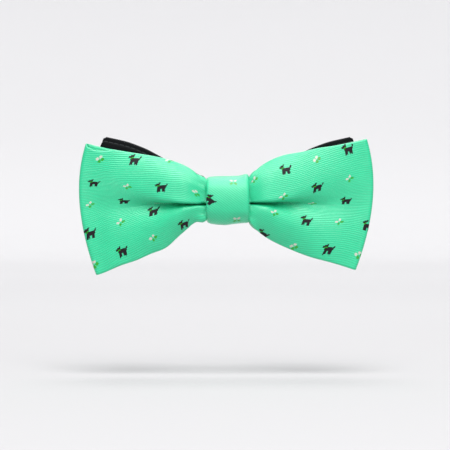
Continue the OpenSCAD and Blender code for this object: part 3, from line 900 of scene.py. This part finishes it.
def jacquard():
    m = Material("mint_jacquard_cloth", 0.35, specular=0.3, sheen=0.07, sheen_rough=0.2,
                 sheen_tint=(0.7, 1.0, 0.88), coat=0.85, coat_rough=0.3)
    u, w = m.cloth_mm()
    # every figure is made of whole threads
    su = ((u * (1 / PICK)).floor() + 0.5) * PICK
    sw = ((w * (2 / RIB)).floor() + 0.5) * (RIB / 2)
    i, j = (su * (1 / COLUMN)).round(), (sw * (1 / ROW)).round()
    x, y = su - i * COLUMN, sw - j * ROW
    # dogs and flowers take turns
    odd = (((i + j) * 0.5).fract() - 0.25).ramp(0.0, 0.05)
    even = odd * -1 + 1
    dog, collar = figure(x, y, DOG) * odd, figure(x, y, COLLAR) * odd
    pale, leaf = figure(x, y, PALE_PETALS) * even, figure(x, y, GREEN_PETALS) * even
    figures = dog.max(pale).max(leaf)
    # ribs of the ground run along the strip, each crossed by fine threads; both have painted shade in their
    # grooves
    phase = (w * (1 / RIB)).fract() - 0.5
    rib = (phase * phase) * -4 + 1
    pick = u.wave(PICK)
    soft = m.noise(m.combine(u, w), 0.12, 1.0)
    slub = m.noise(m.combine(u * 0.15, w * 2.1), 1.0)
    # painted shade: the rib grooves take the darker mint, and the pick term below darkens the ground between
    # crossing threads
    ground = m.mix_colour(rib.ramp(0.0, 0.75), MINT_GROOVE_SHADE, MINT)
    colour = m.shade(ground, (soft * 0.16 + 0.92) * (slub * 0.22 + 0.89) * (pick * 0.08 + 0.94))
    for part, tint in ((pale, PETAL), (leaf, LEAF), (dog, INK), (collar, LEAF)):
        colour = m.mix_colour(part, colour, tint)
    colour = m.shade(colour, figures * pick * 0.18 * -1 + 1.06)
    rough = slub * 0.1 + 0.27 + figures * 0.28
    height = (rib.power(0.7) * 0.75 + pick * 0.2) * (figures * -0.85 + 1) + figures * 0.6
    # the dogs' matt threads take no gloss
    return m.finish(colour, rough, height, 0.00012, 0.85, coat=dog * -0.85 + 0.85)


def satin():
    stitch_pitch, twill_pitch = 2.4, 0.34
    m = Material("black_satin_cloth", 0.34, sheen=0.02, sheen_rough=0.3, specular=0.13)
    s, q = m.cloth_mm()
    seam = (q.abs() - (BAND_W / 2 - SEAM_IN)).abs()
    dash = ((s * (1 / stitch_pitch)).fract() - 0.5).abs().ramp(0.36, 0.42, 1.0, 0.0)
    stitch = seam.ramp(0.1, 0.2, 1.0, 0.0) * dash
    twill = (s + q * 0.45).wave(twill_pitch)
    slub = m.noise(m.combine(s * 0.12, q * 2.0), 1.0)
    cloud = m.noise(m.combine(s, q), 0.2)
    worn = q.abs().ramp(BAND_W / 2 - 0.55, BAND_W / 2) * cloud
    colour = m.mix_colour(cloud, (0.002, 0.0025, 0.003), (0.004, 0.005, 0.006))
    colour = m.mix_colour(worn * 0.6, colour, (0.03, 0.031, 0.034))
    # the topstitch thread is painted a lighter grey than the satin, partly as its own colour and partly as a
    # painted highlight along the seam
    colour = m.mix_colour(stitch, colour, (0.035, 0.037, 0.04))
    rough = slub * 0.16 + 0.27 + stitch * 0.25 + worn * 0.2
    return m.finish(colour, rough, twill * 0.25 + stitch * 2.2 + slub * 0.5, 0.00005, 0.7)


def nonwoven():
    m = Material("interlining_felt", 0.95, sheen=0.3, specular=0.2)
    v = m.object_mm()
    fibre = m.noise(v, 1.6, 5.0)
    tuft = m.noise(v, 0.35)
    colour = m.mix_colour(fibre, (0.56, 0.53, 0.47), (0.86, 0.84, 0.78))
    return m.finish(m.shade(colour, tuft * 0.2 + 0.9), fibre * 0.2 + 0.78, fibre, 0.0003, 0.8)


def twisted(name, colour, crest_highlight):
    """Plied sewing thread."""
    ply_pitch = 0.75
    m = Material(name, 0.5, sheen=0.2, specular=0.4)
    s, turn = m.cloth_mm()
    ply = (s * (2 * math.pi / ply_pitch) + turn * 2).sin() * 0.5 + 0.5
    fuzz = m.noise(m.object_mm(), 6.0, 3.0)
    # the ply's crests are painted lighter and the hollows between the plies darker, as painted highlight and
    # shade on the twist
    colour = m.shade(m.mix_colour(ply, colour, crest_highlight), fuzz * 0.4 + 0.8)
    return m.finish(colour, fuzz * 0.25 + 0.4, ply, 0.00008)


def plated():
    m = Material("plated_wire", 0.2, metallic=1.0)
    v = m.object_mm()
    haze = m.noise(v, 0.35, 3.0)
    scratch = m.noise(v, 2.6, 6.0)
    worn = (haze * 0.6 + scratch * 0.4).ramp(0.5, 0.68)
    colour = m.mix_colour(worn, (0.83, 0.835, 0.84), (0.6, 0.585, 0.56))
    return m.finish(colour, worn * 0.22 + 0.13 + scratch * 0.08, scratch, 0.00002, 0.35)


# ---------------------------------------------------------------- making

def own(obj, material, slot_name, *nodes, body=None):
    obj.data.materials.clear()
    obj.data.materials.append(material)
    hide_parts(*nodes)
    if body:
        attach(obj, body)
    return obj


mint, black, felt = jacquard(), satin(), nonwoven()
green_thread = twisted("green_sewing_thread", (0.02, 0.30, 0.13), (0.06, 0.52, 0.27))
black_thread = twisted("black_sewing_thread", (0.012, 0.012, 0.013), (0.06, 0.06, 0.065))
metal = plated()

loop = loop_lines()
strip = own(build_strip(loop), mint, "mint_jacquard", "bow_strip", body="bow")
lining = own(build_interlining(loop[::2]), felt, "interlining", "bow_interlining", body="bow")
knot = own(build_knot(), mint, "mint_jacquard", "knot_band", body="bow")
knot_lining = own(build_knot_interlining(), felt, "interlining", "knot_interlining", body="bow")

for name, paths, radius, node in (("waist_thread_wound", [waist_winding()], 0.28, "waist_thread"),
                                  ("knot_closing_stitches", closing_stitches(), 0.17, "knot_stitches")):
    own(thread(name, paths, radius), green_thread, "green_thread", node, body="bow")


def layer_gap(y0, y1):
    """The gap between two layers of the band, over which it bends from one body to the next."""
    return dict(start=(0, (y0 + BAND_T / 2) * MM, 0), end=(0, (y1 - BAND_T / 2) * MM, 0))


tail_run = dict(start=tuple(band_point(RIGHT_SIDE, SLIDE_S - 1, 3, 0) * MM),
                end=tuple(band_point(RIGHT_SIDE, TURN_S + 1, 3, 0) * MM))
# each piece of the band: its builder and name, the nodes it replaces, the bodies it spans, and where
LEFT_BAND = [
    (first_piece, "band_left_1", ("band_front_run", "left_fold_1"),
     ("bow", "left_layer_2"), layer_gap(LAYER_Y[0], LAYER_Y[1])),
    (second_piece, "band_left_2", ("left_run_2", "left_fold_2"),
     ("left_layer_2", "left_layer_3"), layer_gap(LAYER_Y[1], LAYER_Y[2])),
    (left_end_piece, "band_left_3", ("left_run_3", "left_fold_3", "left_run_4"),
     ("left_layer_3", "left_end"), layer_gap(LAYER_Y[2], LEFT_END_Y)),
]
RIGHT_BAND = [
    (first_piece, "band_right_1", ("band_front_run", "right_fold_1"),
     ("bow", "right_layer_2"), layer_gap(LAYER_Y[0], LAYER_Y[1])),
    (second_piece, "band_right_2", ("right_run_2", "right_fold_2"),
     ("right_layer_2", "right_layer_3"), layer_gap(LAYER_Y[1], LAYER_Y[2])),
    (right_end_piece, "band_right_3", ("right_run_3", "right_fold_3", "right_run_4"),
     ("right_layer_3", "right_end"), layer_gap(LAYER_Y[2], RIGHT_END_Y)),
    (tail_piece, "band_right_tail", ("tail_loop",),
     ("slide", "hook_turn"), tail_run),
]
for side, band in ((LEFT_SIDE, LEFT_BAND), (RIGHT_SIDE, RIGHT_BAND)):
    for build, name, nodes, bodies, where in band:
        piece = own(build(name, side), black, "black_satin", *nodes)
        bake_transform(piece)

for name, path, node, body in (
        ("left_bar_tack_stitches", bar_tack(LEFT_SIDE, *LEFT_TACK), "left_bar_tack", "left_end"),
        ("slide_bar_tack_stitches", bar_tack(RIGHT_SIDE, *SLIDE_TACK), "slide_bar_tack", "slide")):
    own(thread(name, [path], 0.1, 6), black_thread, "black_thread", node, body=body)

for name in ("eye", "slide_adjuster", "hook"):
    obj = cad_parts[name]
    if not obj.material_slots:
        obj.data.materials.append(metal)
    for slot in obj.material_slots:
        slot.material = metal


# ---------------------------------------------------------------- stage, light and camera, in metres

FLOOR_DROP = 0.041  # distance of the floor under the tie
FLOOR_FRONT, FLOOR_BACK, FLOOR_HALF = -3.2, 3.0, 3.4
CURVE_R, WALL_H = 0.6, 3.2
VIEW_W = 0.1843  # width of the view at the knot
VIEW_X, VIEW_Z = -0.00115, -0.01024  # its middle
DISTANCE = 0.9  # of the camera from the middle of the tie
SENSOR = 36  # width of the camera's sensor, in millimetres

floor_z = float(cad_bounds[0][2]) - FLOOR_DROP


def sweep_floor():
    """A pale seamless floor that curves up behind the tie."""
    path = [(FLOOR_FRONT, 0.0), (FLOOR_BACK, 0.0)]
    path += [(FLOOR_BACK + CURVE_R * math.sin(t), CURVE_R - CURVE_R * math.cos(t))
             for t in np.radians(np.linspace(8, 90, 12))]
    path += [(FLOOR_BACK + CURVE_R, WALL_H)]
    verts = [(x / MM, y / MM, (floor_z + z) / MM) for x in (-FLOOR_HALF, FLOOR_HALF) for y, z in path]
    n = len(path)
    obj = make_mesh("studio_floor", verts, [(i, i + n, i + n + 1, i + 1) for i in range(n - 1)])
    m = Material("studio_paper", 0.9, specular=0.2)
    _, y, z = m.split(m.object_mm())
    # paler away from the lights, over these millimetres, so that floor and wall read as one even ground
    back = y.ramp(150, 1900)
    rise = z.ramp(floor_z / MM + 200, floor_z / MM + 650)
    ground = m.mix_colour(back, (0.505, 0.5, 0.505), (0.735, 0.73, 0.735))
    obj.data.materials.append(m.finish(m.mix_colour(rise, ground, (0.85, 0.845, 0.85))))
    return obj


def softbox(name, place, size, watts):
    """A round lamp that looks at the knot."""
    data = bpy.data.lights.new(name, "AREA")
    data.shape, data.size, data.energy = "DISK", size, watts
    obj = add_object(name, data)
    obj.location = place
    obj.rotation_euler = (-Vector(place)).to_track_quat("-Z", "Y").to_euler()


sweep_floor()

sun = bpy.data.lights.new("key", "SUN")
sun.energy, sun.angle = 2.3, math.radians(34)
add_object("key", sun).rotation_euler = (math.radians(28), 0, math.radians(4))
softbox("fill", (0.1, -1.0, 0.8), 0.8, 8.5)
softbox("rim", (0.0, 0.45, 1.0), 0.8, 6)
world = bpy.data.worlds.new("studio")
bpy.context.scene.world = world
world.use_nodes = True
sky = world.node_tree.nodes["Background"]
sky.inputs["Color"].default_value = (0.95, 0.96, 1.0, 1)
sky.inputs["Strength"].default_value = 0.4
bpy.context.scene.view_settings.view_transform = "Standard"

lens = bpy.data.cameras.new("camera")
lens.sensor_width = SENSOR
lens.lens = SENSOR * DISTANCE / VIEW_W
lens.clip_start, lens.clip_end = 0.05, 20
camera = add_object("camera", lens)
camera.location = (VIEW_X, -DISTANCE, VIEW_Z)
camera.rotation_euler = (math.radians(90), 0, 0)
bpy.context.scene.camera = camera
